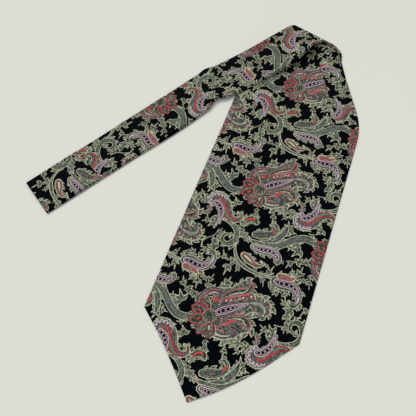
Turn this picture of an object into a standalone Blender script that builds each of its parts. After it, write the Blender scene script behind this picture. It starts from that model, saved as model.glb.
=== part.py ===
"""A silk cravat laid on a table: a wide pointed blade, pleated at the neck, whose neckband is
folded back over it and runs out to a square end. Metres, +Z up, the table is z = 0.

The cloth is first described unfolded. There x runs across the blade, y runs from the blade's
point to the strap's square end, and both lie flat. The neck pleat is then laid in, and the
length past the fold line is rolled over onto the blade."""

import math

import bmesh
import bpy
import numpy as np
from mathutils import Vector

# Cloth
SILK = 0.0010  # doubled silk, one wall
REST_GAP = 0.00035  # clear space between walls that lie on each other
SEAM_GAP = 0.0003  # clear space across a seam
BAND = 0.0026  # the folded and stitched band, all its layers together

# Blade, from its point at y = 0
LEFT_CORNER = (-0.0812, 0.0715)
RIGHT_CORNER = (0.0878, 0.0960)
LEFT_TIP_HOLLOW = 0.0020  # how far the two edges of the point leave a straight line
RIGHT_TIP_BULGE = 0.0055
LEFT_EDGE_TOP = -0.0868  # the side edges at the height where the neck starts
RIGHT_EDGE_TOP = 0.0826
NECK_START = 0.345
STRAIGHT_TO = 0.325  # below this the rows follow the point, above it the neck
LEFT_TURN = (0.374, 0.416, math.radians(14.5))  # from, to and angle by which an edge turns in
RIGHT_TURN = (0.352, 0.416, math.radians(28.0))

# The knife pleat on the right: a margin that turns in with the edge and lies on the panel
PLEAT_MARGIN = 0.0290
PLEAT_TUCK = 0.0020  # the hidden fold stays this far inside the margin's edge
PLEAT_TURN = math.pi * (SILK + REST_GAP) / 2  # length of cloth in each of its two folds
DRAPE_START = 0.0030  # how far past the hidden fold the margin begins to fall to the table
DRAPE_ROOM = 0.0120
RIPPLE_SHARE = 0.8  # share of the margin over which a ripple too low to lie over falls away

# The fold that lays the neckband back over the blade
FOLD_POINT = (-0.0225, 0.5062)
FOLD_ANGLE = math.radians(-15.1)
FOLD_RADIUS = 0.0045
SETTLE = 0.115  # distance from the fold at which the upper stretch has come down
BLADE_STOP = -0.0015  # where the blade's cloth meets the neckband's, before the fold
PLEAT_FOOT = (-0.012, 0.008)  # there the pleat's three layers start, and the run of that step
GATHER = (0.500, 0.020)  # from here, and over this run, the layers draw into the band

# Neckband and strap: the two edges along the unfolded length
BAND_EDGES = (
    # y, left edge, right edge
    (0.485, -0.0565, 0.0285),
    (0.495, -0.0540, 0.0240),
    (0.502, -0.0522, 0.0184),
    (0.508, -0.0512, 0.0104),
    (0.514, -0.0505, 0.0004),
    (0.522, -0.0502, -0.0036),
    (0.532, -0.0505, -0.0032),
    (0.552, -0.0520, 0.0000),
    (0.575, -0.0542, 0.0000),
    (0.610, -0.0588, -0.0050),
    (0.650, -0.0648, -0.0095),
    (0.677, -0.0684, -0.0142),
    (0.691, -0.0688, -0.0206),
    (0.707, -0.0688, -0.0154),
    (0.728, -0.0688, -0.0139),
    (0.839, -0.0688, -0.0163),
    (0.959, -0.0691, -0.0192),
)
CROSS_SEAM = 0.8785
SQUARE_END = 0.9540
END_PIECE_STEP = 0.0008  # the end piece stands out this much at the seam
RAMP = 0.024  # run over which the strap comes down from the blade's edge to the table
BUCKLE_AT = 0.691  # a small buckle where the strap climbs onto the blade
BUCKLE_LENGTH = 0.016
BUCKLE_LIFT = 0.0030
BUCKLE_FROM = 0.35  # the share of the band's width that stays flat at the buckle

# Finer steps of the walls
LAYERS = 3  # layers that show at the band's lower edge
EDGE_ROUND = 0.0004  # how far the middle of each layer's edge stands out, and the left fold is drawn in
LAYER_STEPS = (0.0, 0.0018, 0.0009)  # how far each stands out, from the outer layer inwards
NOTCH = 0.0009
TIP_ROWS = 20
NECK_ROWS = 26
LEFT_COLUMNS = 5
RIGHT_COLUMNS = 5
TURN_COLUMNS = 4
RUN_COLUMNS = 3
MARGIN_COLUMNS = 6
BAND_COLUMNS = 7
FOLD_RINGS = 14
TURNING_RINGS = 4  # rings past the fold that turn from its slant to square across the band
TURNING_LENGTH = 0.028
RING_STEP = 0.0085
STRAP_RINGS = 10
END_RINGS = 7
EDGE_ROUNDS = 12  # rounds that settle where a slanting ring meets the band's edges


def smooth(t):
    """0 below 0, 1 above 1, and a level start and end between."""
    t = min(1.0, max(0.0, t))
    return t * t * (3 - 2 * t)


def blend(a, b, t):
    return a + (b - a) * t


def along(table, y, column):
    """A smooth curve through one column of a table whose first column is y."""
    heights = [row[0] for row in table]
    values = [row[column] for row in table]
    slopes = np.gradient(values, heights)
    i = min(max(np.searchsorted(heights, y) - 1, 0), len(heights) - 2)
    span = heights[i + 1] - heights[i]
    t = min(1.0, max(0.0, (y - heights[i]) / span))
    start = values[i] * (1 + 2 * t) * (1 - t) ** 2 + slopes[i] * span * t * (1 - t) ** 2
    end = values[i + 1] * t * t * (3 - 2 * t) - slopes[i + 1] * span * t * t * (1 - t)
    return float(start + end)


class TurningEdge:
    """A side edge of the blade: nearly straight, then turned in by an angle at the neck."""

    STEP = 0.001

    def __init__(self, corner, top, turn, side):
        self.side, self.turn = side, turn
        self.lengths = np.arange(corner[1] - 0.1, 0.62, self.STEP)
        lean = (top - corner[0]) / (NECK_START - corner[1])
        angles = np.array([self.angle(y) for y in self.lengths])
        steps_x = -side * np.sin(angles) + lean * np.cos(angles)
        steps_y = np.cos(angles)
        self.x = np.cumsum(steps_x) * self.STEP
        self.y = np.cumsum(steps_y) * self.STEP
        at = np.interp(corner[1], self.lengths, np.arange(len(self.lengths)))
        self.x += corner[0] - self.x[int(round(at))]
        self.y += corner[1] - self.y[int(round(at))]

    def angle(self, length):
        start, end, angle = self.turn
        return angle * smooth((length - start) / (end - start))

    def point(self, length):
        return (
            float(np.interp(length, self.lengths, self.x)),
            float(np.interp(length, self.lengths, self.y)),
        )


LEFT_EDGE = TurningEdge(LEFT_CORNER, LEFT_EDGE_TOP, LEFT_TURN, -1)
RIGHT_EDGE = TurningEdge(RIGHT_CORNER, RIGHT_EDGE_TOP, RIGHT_TURN, 1)


def tip_height(x):
    """The y of the pointed end's edge at x."""
    if x < 0:
        corner, bow = LEFT_CORNER, LEFT_TIP_HOLLOW
    else:
        corner, bow = RIGHT_CORNER, -RIGHT_TIP_BULGE
    share = x / corner[0]
    return corner[1] * share + bow * math.sin(math.pi * share) * math.sqrt(2)


def pleat_crease(length):
    """Where the margin's inner crease lies at this length along the cloth."""
    x, y = RIGHT_EDGE.point(length)
    angle = RIGHT_EDGE.angle(length)
    return x - PLEAT_MARGIN * math.cos(angle), y - PLEAT_MARGIN * math.sin(angle)


def pleat_fold(length):
    """(angle of the fold, its straight run).
    A fold that takes up little cloth is a ripple; a deeper one lies flat at 180 degrees."""
    flat = RIGHT_EDGE_TOP - PLEAT_MARGIN
    crease = pleat_crease(length)[0]
    taken = max(0.0, flat - crease)
    most_in_turns = 2 * PLEAT_TURN
    if taken >= most_in_turns:
        room = RIGHT_EDGE.point(length)[0] - PLEAT_TUCK - crease
        return math.pi, min((taken - most_in_turns) / 2, room)
    low, high = 1e-4, math.pi
    for _ in range(40):
        middle = (low + high) / 2
        if most_in_turns * (1 - math.sin(middle) / middle) < taken:
            low = middle
        else:
            high = middle
    return max(low, 1e-3), 0.0


def blade_point(group, share, length):
    """A point on the middle of the blade's wall, with the pleat laid in. The groups run from
    the left edge to the right: left, right, first_turn, run, second_turn, margin."""
    level = SILK / 2
    if group == "left":
        return Vector((LEFT_EDGE.point(length)[0] * (1 - share), length, level))
    angle, run = pleat_fold(length)
    crease_x, crease_y = pleat_crease(length)
    turn_x = PLEAT_TURN / angle * math.sin(angle)
    turn_z = PLEAT_TURN / angle * (1 - math.cos(angle))
    hidden = crease_x - 2 * turn_x - run * math.cos(angle)
    if group == "right":
        return Vector((hidden * share, length, level))
    before_run = (hidden + turn_x, level + turn_z)
    after_run = (
        before_run[0] + run * math.cos(angle),
        before_run[1] + run * math.sin(angle),
    )
    total = 2 * PLEAT_TURN + run
    if group == "first_turn":
        now = angle * share
        x = hidden + PLEAT_TURN / angle * math.sin(now)
        z = level + PLEAT_TURN / angle * (1 - math.cos(now))
        passed = PLEAT_TURN * share
    elif group == "run":
        x = blend(before_run[0], after_run[0], share)
        z = blend(before_run[1], after_run[1], share)
        passed = PLEAT_TURN + run * share
    elif group == "second_turn":
        now = angle * (1 - share)
        x = after_run[0] + PLEAT_TURN / angle * (math.sin(angle) - math.sin(now))
        z = after_run[1] + PLEAT_TURN / angle * (math.cos(now) - math.cos(angle))
        passed = total - PLEAT_TURN * (1 - share)
    else:
        end_x, end_y = RIGHT_EDGE.point(length)
        height = 2 * turn_z
        covered = run + DRAPE_START
        overhang = PLEAT_MARGIN - covered
        fall = smooth(overhang / DRAPE_ROOM) if run > 0 else 1.0
        done = smooth((share * PLEAT_MARGIN - covered) / max(overhang, 1e-6))
        if run == 0:
            done = smooth(share / RIPPLE_SHARE)
        z = level + height * (1 - fall * done)
        return Vector((blend(crease_x, end_x, share), blend(crease_y, end_y, share), z))
    return Vector((x, blend(length, crease_y, smooth(passed / total)), z))


FOLD_ALONG = Vector((math.cos(FOLD_ANGLE), math.sin(FOLD_ANGLE), 0))
FOLD_ACROSS = Vector((-math.sin(FOLD_ANGLE), math.cos(FOLD_ANGLE), 0))
FOLD_ORIGIN = Vector((*FOLD_POINT, 0))


def past_fold(point):
    """How far an unfolded point lies past the line where the fold starts."""
    return (Vector((point[0], point[1], 0)) - FOLD_ORIGIN).dot(FOLD_ACROSS)


def bearing(x, y):
    """Height of what the upper stretch lies on: the blade, or the table past its left edge."""
    outside = LEFT_EDGE.point(y)[0] - x
    return (SILK + REST_GAP) * (1 - smooth(outside / RAMP))


def roll_over(x, y, depth, lift=0.0):
    """Where a point of the neckband lies once folded. depth is measured into the band from
    the face that lies on the table before the fold and shows on top after it."""
    across = past_fold((x, y))
    foot = Vector((x, y, 0)) - across * FOLD_ACROSS
    if across <= 0:
        return foot + across * FOLD_ACROSS + Vector((0, 0, depth))
    angle = across / FOLD_RADIUS
    if angle < math.pi:
        reach = (FOLD_RADIUS - depth) * math.sin(angle)
        height = FOLD_RADIUS - (FOLD_RADIUS - depth) * math.cos(angle)
        return foot + reach * FOLD_ACROSS + Vector((0, 0, height))
    back = across - math.pi * FOLD_RADIUS
    place = foot - back * FOLD_ACROSS
    rest = bearing(place.x, place.y) + BAND
    top = blend(2 * FOLD_RADIUS, rest, smooth(back / SETTLE))
    return place + Vector((0, 0, top + lift - depth))


def length_at_line(point_at, offset):
    """The length along the cloth at which point_at(length) reaches the line offset from the
    start of the fold."""
    low, high = 0.40, 0.60
    for _ in range(40):
        middle = (low + high) / 2
        if past_fold(point_at(middle)) < offset:
            low = middle
        else:
            high = middle
    return (low + high) / 2


def cloth_colour(name, colour):
    material = bpy.data.materials.new(name)
    material.use_nodes = True
    shader = material.node_tree.nodes["Principled BSDF"]
    shader.inputs["Base Color"].default_value = (*colour, 1)
    shader.inputs["Roughness"].default_value = 0.55
    return material


def mapped_grid(rows, columns, place):
    """A bmesh grid whose vertex at (row, column) is moved to place(row, column)."""
    bm = bmesh.new()
    bmesh.ops.create_grid(bm, x_segments=columns, y_segments=rows, size=0.5)
    for vert in bm.verts:
        column = round((vert.co.x + 0.5) * columns)
        row = round((vert.co.y + 0.5) * rows)
        vert.co = place(row, column)
    return bm


def finished(name, bm, colour):
    """An object from a bmesh, smooth with sharp rims."""
    mesh = bpy.data.meshes.new(name)
    bm.to_mesh(mesh)
    bm.free()
    mesh.shade_smooth()
    mesh.set_sharp_from_angle(angle=math.radians(40))
    mesh.materials.append(cloth_colour(name + "_silk", colour))
    ob = bpy.data.objects.new(name, mesh)
    bpy.context.scene.collection.objects.link(ob)
    return ob


def blade_columns():
    """(group, share) of each column from the left edge to the right."""
    counts = (
        ("left", LEFT_COLUMNS),
        ("right", RIGHT_COLUMNS),
        ("first_turn", TURN_COLUMNS),
        ("run", RUN_COLUMNS),
        ("second_turn", TURN_COLUMNS),
        ("margin", MARGIN_COLUMNS),
    )
    columns = [("left", 0.0)]
    for group, count in counts:
        columns += [(group, (k + 1) / count) for k in range(count)]
    return columns


def make_blade():
    """The wide panel from its point to the fold, one wall with a knife pleat at its right."""
    columns = blade_columns()
    stops = [
        length_at_line(lambda y, g=group, s=share: blade_point(g, s, y), BLADE_STOP)
        for group, share in columns
    ]

    def place(row, column):
        group, share = columns[column]
        if row <= TIP_ROWS:
            low = tip_height(blade_point(group, share, STRAIGHT_TO).x)
            t = row / TIP_ROWS
            point = blade_point(group, share, blend(low, STRAIGHT_TO, t))
            if row == 0:
                point.y = tip_height(point.x)
            return point
        t = (row - TIP_ROWS) / NECK_ROWS
        return blade_point(group, share, blend(STRAIGHT_TO, stops[column], t))

    bm = mapped_grid(TIP_ROWS + NECK_ROWS, len(columns) - 1, place)
    ob = finished("blade", bm, (0.30, 0.31, 0.24))
    wall = ob.modifiers.new("wall", "SOLIDIFY")
    wall.thickness = SILK
    wall.offset = 0
    return ob


def band_section():
    """The closed outline of the folded band: (share across, step out, share of thickness).
    Its right edge shows three layers, and its left edge is one rounded fold."""
    outline = []
    for k in range(BAND_COLUMNS + 1):
        outline.append((k / BAND_COLUMNS, 0.0, 0.0))
    layer = 1 / LAYERS
    for k, step in enumerate(LAYER_STEPS):
        outline.append((1.0, step + EDGE_ROUND, (k + 0.25) * layer))
        outline.append((1.0, step + EDGE_ROUND, (k + 0.75) * layer))
        if k < LAYERS - 1:
            outline.append((1.0, -NOTCH, (k + 1) * layer))
    for k in range(BAND_COLUMNS + 1):
        outline.append((1 - k / BAND_COLUMNS, 0.0, 1.0))
    outline.append((0.0, -EDGE_ROUND, 0.72))
    outline.append((0.0, -EDGE_ROUND, 0.28))
    return outline


def band_edges(y, widen=0.0):
    left, right = along(BAND_EDGES, y, 1), along(BAND_EDGES, y, 2)
    return left - widen, right


def band_point(y_at, section, widen=0.0):
    """A point of the band. y_at(x) is the unfolded y of this ring at x."""
    share, step, deep = section
    y = y_at(blend(*band_edges(SQUARE_END), share))
    for _ in range(EDGE_ROUNDS):
        x = blend(*band_edges(y, widen), share)
        y = y_at(x)
    pile = blend(SILK, 3 * SILK + 2 * REST_GAP, smooth((x - PLEAT_FOOT[0]) / PLEAT_FOOT[1]))
    thickness = blend(pile, BAND, smooth((y - GATHER[0]) / GATHER[1]))
    bump = math.exp(-(((y - BUCKLE_AT) / BUCKLE_LENGTH) ** 2))
    lift = BUCKLE_LIFT * bump * smooth((share - BUCKLE_FROM) / (1 - BUCKLE_FROM))
    return roll_over(x + step, y, deep * thickness, lift)


def band_piece(name, rings, widen, colour):
    """A closed band through rings, each the function y_at(x) of that ring."""
    section = band_section()
    count = len(section)

    def place(row, column):
        return band_point(rings[row], section[column % count], widen)

    bm = mapped_grid(len(rings) - 1, count, place)
    bmesh.ops.remove_doubles(bm, verts=bm.verts, dist=1e-6)
    bmesh.ops.holes_fill(bm, edges=[e for e in bm.edges if e.is_boundary], sides=0)
    bmesh.ops.recalc_face_normals(bm, faces=bm.faces)
    return finished(name, bm, colour)


def fold_line_y(offset):
    """y_at(x) of a ring parallel to the fold, offset past its start."""
    reach = FOLD_ORIGIN + offset * FOLD_ACROSS
    return lambda x: reach.y + (x - reach.x) * math.tan(FOLD_ANGLE)


def level_y(y):
    return lambda x: y


def mixed_y(first, second, t):
    return lambda x: blend(first(x), second(x), t)


def make_neckband():
    """From the seam before the fold, over it, and along to the cross seam."""
    over = math.pi * FOLD_RADIUS
    rings = [fold_line_y(BLADE_STOP + SEAM_GAP), fold_line_y(0.0)]
    rings += [fold_line_y(over * (k + 1) / FOLD_RINGS) for k in range(FOLD_RINGS)]
    turned = FOLD_POINT[1] + over + 1.4 * TURNING_LENGTH
    for k in range(TURNING_RINGS):
        t = (k + 1) / TURNING_RINGS
        slanted = fold_line_y(over + TURNING_LENGTH * t)
        rings.append(mixed_y(slanted, level_y(blend(turned - TURNING_LENGTH, turned, t)), t))
    fine = np.arange(turned + RING_STEP, BUCKLE_AT + 3 * BUCKLE_LENGTH, RING_STEP)
    coarse = np.linspace(fine[-1] + RING_STEP, CROSS_SEAM - SEAM_GAP, STRAP_RINGS)
    rings += [level_y(float(y)) for y in (*fine, *coarse)]
    return band_piece("neckband", rings, 0.0, (0.27, 0.28, 0.22))


def make_strap_end():
    """The short piece that a cross seam joins on, with the square end."""
    lengths = np.linspace(CROSS_SEAM, SQUARE_END, END_RINGS)
    rings = [level_y(float(y)) for y in lengths]
    return band_piece("strap_end", rings, END_PIECE_STEP, (0.32, 0.30, 0.24))


def centre_on_table(objects):
    """Moves the whole cravat so that the middle of its box is over the origin."""
    graph = bpy.context.evaluated_depsgraph_get()
    corners = []
    for ob in objects:
        shape = ob.evaluated_get(graph)
        corners += [shape.matrix_world @ Vector(c) for c in shape.bound_box]
    low = Vector([min(c[k] for c in corners) for k in range(3)])
    high = Vector([max(c[k] for c in corners) for k in range(3)])
    for ob in objects:
        ob.location = Vector((-(low.x + high.x) / 2, -(low.y + high.y) / 2, -low.z))


def main():
    for ob in list(bpy.data.objects):
        bpy.data.objects.remove(ob)
    pieces = [make_blade(), make_neckband(), make_strap_end()]
    bpy.context.view_layer.update()
    centre_on_table(pieces)


main()
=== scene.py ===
"""The looks of a silk cravat that lies on a pale table: the printed cloth, its folds and light.

Cloth and print are worked out in millimetres. A flat point is (x, y): x runs across the blade
and y from its point to the far end of the unfolded strap. Each surface function lays flat
points out as they lie on the table, and what it returns is moved into the row frame."""

import cmath
import math

import bmesh
import bpy
import numpy as np
from mathutils import Matrix, Vector
from mathutils.bvhtree import BVHTree
from mathutils.geometry import delaunay_2d_cdt
from mathutils.kdtree import KDTree


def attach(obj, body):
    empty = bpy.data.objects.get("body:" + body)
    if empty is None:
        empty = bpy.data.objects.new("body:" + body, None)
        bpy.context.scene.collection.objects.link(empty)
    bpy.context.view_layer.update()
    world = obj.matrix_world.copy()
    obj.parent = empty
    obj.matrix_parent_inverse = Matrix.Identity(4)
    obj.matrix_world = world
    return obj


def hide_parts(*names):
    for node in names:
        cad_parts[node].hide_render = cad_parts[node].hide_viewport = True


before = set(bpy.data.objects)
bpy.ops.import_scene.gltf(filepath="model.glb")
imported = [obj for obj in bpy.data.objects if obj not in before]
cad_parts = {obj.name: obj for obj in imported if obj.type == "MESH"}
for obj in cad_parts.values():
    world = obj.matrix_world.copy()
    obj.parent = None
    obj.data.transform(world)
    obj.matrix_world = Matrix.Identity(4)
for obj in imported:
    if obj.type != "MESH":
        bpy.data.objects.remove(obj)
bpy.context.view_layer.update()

# Cloth, as in the part
SILK = 1.0
REST_GAP = 0.35
BAND = 2.6
LEFT_CORNER = (-81.2, 71.5)
RIGHT_CORNER = (87.8, 96.0)
LEFT_TIP_HOLLOW = 2.0
RIGHT_TIP_BULGE = 5.5
LEFT_EDGE_TOP = -86.8
RIGHT_EDGE_TOP = 82.6
NECK_START = 345.0
LEFT_TURN = (374.0, 416.0, math.radians(14.5))
RIGHT_TURN = (352.0, 416.0, math.radians(28.0))
# The knife pleat, and how its margin drapes off the layers under it
PLEAT_MARGIN = 29.0
PLEAT_TUCK = 2.0
PLEAT_TURN = math.pi * (SILK + REST_GAP) / 2
DRAPE_START = 3.0
DRAPE_ROOM = 12.0
RIPPLE_SHARE = 0.8
# The band's fold over the blade, and how the cloth gathers into it
FOLD_POINT = complex(-22.5, 506.2)
FOLD_ANGLE = math.radians(-15.1)
FOLD_RADIUS = 4.5
SETTLE = 115.0  # over this length the strap comes down to the table
BLADE_STOP = -1.5
SEAM_GAP = 0.3
PLEAT_FOOT = (-12.0, 8.0)
GATHER = (500.0, 20.0)
BAND_EDGES = (
    # y, left edge, right edge
    (485.0, -56.5, 28.5),
    (495.0, -54.0, 24.0),
    (502.0, -52.2, 18.4),
    (508.0, -51.2, 10.4),
    (514.0, -50.5, 0.4),
    (522.0, -50.2, -3.6),
    (532.0, -50.5, -3.2),
    (552.0, -52.0, 0.0),
    (575.0, -54.2, 0.0),
    (610.0, -58.8, -5.0),
    (650.0, -64.8, -9.5),
    (677.0, -68.4, -14.2),
    (691.0, -68.8, -20.6),
    (707.0, -68.8, -15.4),
    (728.0, -68.8, -13.9),
    (839.0, -68.8, -16.3),
    (959.0, -69.1, -19.2),
)
CROSS_SEAM = 878.5
SQUARE_END = 954.0
END_PIECE_STEP = 0.8
RAMP = 24.0  # how far off the blade's left edge the strap reaches the table
# The small buckle where the strap climbs onto the blade
BUCKLE_AT = 691.0
BUCKLE_LENGTH = 16.0
BUCKLE_LIFT = 3.0
BUCKLE_FROM = 0.35
# The unpressed edge of the strap stands up off the blade just past the fold
STAND_LIFT = 4.6
STAND_FROM = 0.3
STAND_RISE = 22.0
STAND_FALL = 50.0
STAND_BEND = 1.3
# The crest of the fold is rounded off, and a small ridge stands out at the buckle
CREST_ROUND = 4.0
CREST_AT = 521.0
CREST_LENGTH = 8.0
RIDGE_OUT = 2.6
RIDGE_AT = 671.0
RIDGE_LENGTH = 9.0
# Where the print lies on the strap, turned over, and on its end piece
STRAP_PRINT = complex(-74.8, 663.0)
END_PRINT = complex(-46.0, 1088.2)

# The row frame: where the part's box puts the point of the blade
ROW_OFFSET = np.array((98.717, -259.259, 0.0))

# The camera, from the print's equal repeats, the right-angled point and the square end
CAMERA_FROM_TIP = (38.2, 7.3, 495.0)
CAMERA_FORWARD = (-0.1816, 0.3684, -0.9118)
CAMERA_ROLL = math.radians(4.763)
FOCAL_PIXELS = 450.0
FRAME_PIXELS = 416.0
SENSOR = 36.0


def smooth(t):
    t = np.clip(t, 0.0, 1.0)
    return t * t * (3 - 2 * t)


def blend(a, b, t):
    return a + (b - a) * t


def curve_through(table, column):
    """A smooth function of y through one column of a table."""
    y = np.array([row[0] for row in table])
    values = np.array([row[column] for row in table])
    slopes = np.gradient(values, y)

    def value(at):
        at = np.clip(at, y[0], y[-1])
        i = np.clip(np.searchsorted(y, at) - 1, 0, len(y) - 2)
        span = y[i + 1] - y[i]
        t = (at - y[i]) / span
        low = values[i] * (1 + 2 * t) * (1 - t) ** 2 + slopes[i] * span * t * (1 - t) ** 2
        high = values[i + 1] * t * t * (3 - 2 * t) - slopes[i + 1] * span * t * t * (1 - t)
        return low + high

    return value


BAND_LEFT = curve_through(BAND_EDGES, 1)
BAND_RIGHT = curve_through(BAND_EDGES, 2)


def turning_edge(corner, top, turn, side):
    """A side edge of the blade as (length, point) arrays, and the angle that it has turned."""
    length = np.arange(corner[1] - 100.0, 620.0, 1.0)
    angle = turn[2] * smooth((length - turn[0]) / (turn[1] - turn[0]))
    lean = (top - corner[0]) / (NECK_START - corner[1])
    step = -side * np.sin(angle) + lean * np.cos(angle) + 1j * np.cos(angle)
    points = np.cumsum(step)
    points += complex(*corner) - np.interp(corner[1], length, points)
    return length, points, angle


LEFT_EDGE = turning_edge(LEFT_CORNER, LEFT_EDGE_TOP, LEFT_TURN, -1)
RIGHT_EDGE = turning_edge(RIGHT_CORNER, RIGHT_EDGE_TOP, RIGHT_TURN, 1)


def left_x(y):
    return np.interp(y, LEFT_EDGE[0], LEFT_EDGE[1].real)


def tip_height(x):
    """The y of the pointed end's edge at x."""
    x = np.asarray(x, float)
    corner_x = np.where(x < 0, LEFT_CORNER[0], RIGHT_CORNER[0])
    corner_y = np.where(x < 0, LEFT_CORNER[1], RIGHT_CORNER[1])
    bow = np.where(x < 0, LEFT_TIP_HOLLOW, -RIGHT_TIP_BULGE)
    share = x / corner_x
    return corner_y * share + bow * np.sin(math.pi * share) * math.sqrt(2)


class Pleat:
    """The knife pleat along the right margin, for each length of cloth."""

    def __init__(self):
        self.length, edge, self.turn = RIGHT_EDGE
        self.edge = edge
        self.crease = edge - PLEAT_MARGIN * np.exp(1j * self.turn)
        flat = RIGHT_EDGE_TOP - PLEAT_MARGIN
        taken = np.maximum(0.0, flat - self.crease.real)
        angles = np.linspace(1e-3, math.pi, 400)
        taken_by_angle = 2 * PLEAT_TURN * (1 - np.sin(angles) / angles)
        self.angle = np.interp(taken, taken_by_angle, angles)
        room = edge.real - PLEAT_TUCK - self.crease.real
        self.run = np.minimum(np.maximum(0.0, taken / 2 - PLEAT_TURN), np.maximum(room, 0.0))
        reach = PLEAT_TURN / self.angle * np.sin(self.angle)
        self.hidden = self.crease.real - 2 * reach - self.run * np.cos(self.angle)
        self.crease_u = self.hidden + 2 * PLEAT_TURN + self.run

    def at(self, v):
        """Every value at the lengths v."""
        names = ("edge", "crease", "turn", "angle", "run", "hidden", "crease_u")
        return {name: np.interp(v, self.length, getattr(self, name)) for name in names}

    def lines(self, v):
        """The flat x of each line of folding at the lengths v, from the panel to the margin."""
        now = self.at(v)
        first = [now["hidden"] + PLEAT_TURN * t for t in (0, 0.25, 0.5, 0.75, 1)]
        second = [now["crease_u"] - PLEAT_TURN * t for t in (1, 0.75, 0.5, 0.25, 0)]
        return first + second


PLEAT = Pleat()


def ripple(x, y):
    """The cloth's own low waves, in millimetres."""
    waves = (
        # along x, along y, phase, height
        (0.055, 0.012, 0.4, 0.16),
        (-0.021, 0.047, 1.9, 0.16),
        (0.034, -0.026, 3.1, 0.18),
        (0.090, 0.061, 5.2, 0.07),
        (-0.071, 0.093, 0.9, 0.06),
    )
    height = 0.0
    for kx, ky, phase, size in waves:
        height = height + size * (1 + np.sin(kx * x + ky * y + phase)) / 2
    return height


def blade_surface(x, y, out):
    """Where flat points of the blade lie. out is the distance from the middle of the cloth,
    towards its printed face."""
    now = PLEAT.at(y)
    angle, run, hidden = now["angle"], now["run"], now["hidden"]
    level = SILK / 2
    passed = x - hidden
    total = 2 * PLEAT_TURN + run
    tilt = np.zeros_like(x)
    px, pz, py = x.copy(), np.full_like(x, level), y.copy()
    radius = PLEAT_TURN / angle
    first = (passed > 0) & (passed <= PLEAT_TURN)
    tilt = np.where(first, angle * passed / PLEAT_TURN, tilt)
    px = np.where(first, hidden + radius * np.sin(tilt), px)
    pz = np.where(first, level + radius * (1 - np.cos(tilt)), pz)
    turn_x, turn_z = radius * np.sin(angle), radius * (1 - np.cos(angle))
    between = (passed > PLEAT_TURN) & (passed < PLEAT_TURN + run)
    tilt = np.where(between, angle, tilt)
    px = np.where(between, hidden + turn_x + (passed - PLEAT_TURN) * np.cos(angle), px)
    pz = np.where(between, level + turn_z + (passed - PLEAT_TURN) * np.sin(angle), pz)
    second = (passed >= PLEAT_TURN + run) & (passed < total)
    rest = np.clip((total - passed) / PLEAT_TURN, 0, 1)
    tilt = np.where(second, angle * rest, tilt)
    end_x = hidden + turn_x + run * np.cos(angle)
    end_z = level + turn_z + run * np.sin(angle)
    px = np.where(second, end_x + radius * (np.sin(angle) - np.sin(tilt)), px)
    pz = np.where(second, end_z + radius * (np.cos(tilt) - np.cos(angle)), pz)
    folding = (passed > 0) & (passed < total)
    py = np.where(folding, blend(y, now["crease"].imag, smooth(passed / total)), py)
    # the margin past its crease
    margin = passed >= total
    share = (passed - total) / PLEAT_MARGIN
    covered = run + DRAPE_START
    overhang = np.maximum(PLEAT_MARGIN - covered, 1e-3)
    fall = np.where(run > 0, smooth(overhang / DRAPE_ROOM), 1.0)
    done = np.where(
        run > 0, smooth((share * PLEAT_MARGIN - covered) / overhang), smooth(share / RIPPLE_SHARE)
    )
    place = blend(now["crease"], now["edge"], share)
    px = np.where(margin, place.real, px)
    py = np.where(margin, place.imag, py)
    pz = np.where(margin, level + 2 * turn_z * (1 - fall * done), pz)
    return np.stack([px - out * np.sin(tilt), py, pz + out * np.cos(tilt)], -1)


FOLD_ALONG = cmath.exp(1j * FOLD_ANGLE)
FOLD_ACROSS = 1j * FOLD_ALONG


def past_fold(z):
    """How far flat points lie past the line where the fold starts."""
    return ((z - FOLD_POINT) * np.conj(FOLD_ACROSS)).real


def bearing(x, y):
    """Height of what the upper stretch lies on."""
    return (SILK + REST_GAP) * (1 - smooth((left_x(y) - x) / RAMP))


def band_thickness(x, y):
    pile = blend(SILK, 3 * SILK + 2 * REST_GAP, smooth((x - PLEAT_FOOT[0]) / PLEAT_FOOT[1]))
    return blend(pile, BAND, smooth((y - GATHER[0]) / GATHER[1]))


def band_surface(x, y, deep):
    """Where flat points of the folded band lie. deep is 0 on the face that ends up on top and
    1 on the other."""
    z = x + 1j * y
    depth = deep * band_thickness(x, y)
    past = past_fold(z)
    foot = z - past * FOLD_ACROSS
    angle = np.clip(past / FOLD_RADIUS, 0, math.pi)
    back = np.maximum(past - math.pi * FOLD_RADIUS, 0)
    reach = np.where(past < 0, past, (FOLD_RADIUS - depth) * np.sin(angle) - back)
    place = foot + reach * FOLD_ACROSS
    rolled = FOLD_RADIUS - (FOLD_RADIUS - depth) * np.cos(angle)
    share = (x - BAND_LEFT(y)) / (BAND_RIGHT(y) - BAND_LEFT(y))
    bump = np.exp(-(((y - BUCKLE_AT) / BUCKLE_LENGTH) ** 2))
    lift = BUCKLE_LIFT * bump * smooth((share - BUCKLE_FROM) / (1 - BUCKLE_FROM))
    stand = smooth(back / STAND_RISE) * (1 - smooth((back - STAND_RISE) / STAND_FALL))
    stand *= smooth((share - STAND_FROM) / (1 - STAND_FROM)) ** STAND_BEND
    lift += STAND_LIFT * stand
    rest = bearing(place.real, place.imag) + BAND
    top = blend(2 * FOLD_RADIUS, rest, smooth(back / SETTLE)) + lift - depth
    height = np.where(back > 0, top, rolled)
    return np.stack([place.real, place.imag, height], -1)


# The print

REPEAT = 164.0  # along the cloth
COLUMN = 104.0  # from one column of motifs to the next, which is turned over
MIRROR = 288.4  # in every other column y becomes this less y

INKS = {
    "ground": (1, 4, 7),
    "ink": (24, 26, 32),
    "cream": (188, 191, 162),
    "sage": (97, 106, 91),
    "moss": (66, 78, 64),
    "slate": (99, 106, 101),
    "mint": (104, 132, 106),
    "coral": (202, 66, 70),
    "crimson": (150, 50, 66),
    "rose": (172, 106, 114),
    "lavender": (200, 180, 188),
    "plum": (86, 58, 76),
}
INK_NAMES = list(INKS)


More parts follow.
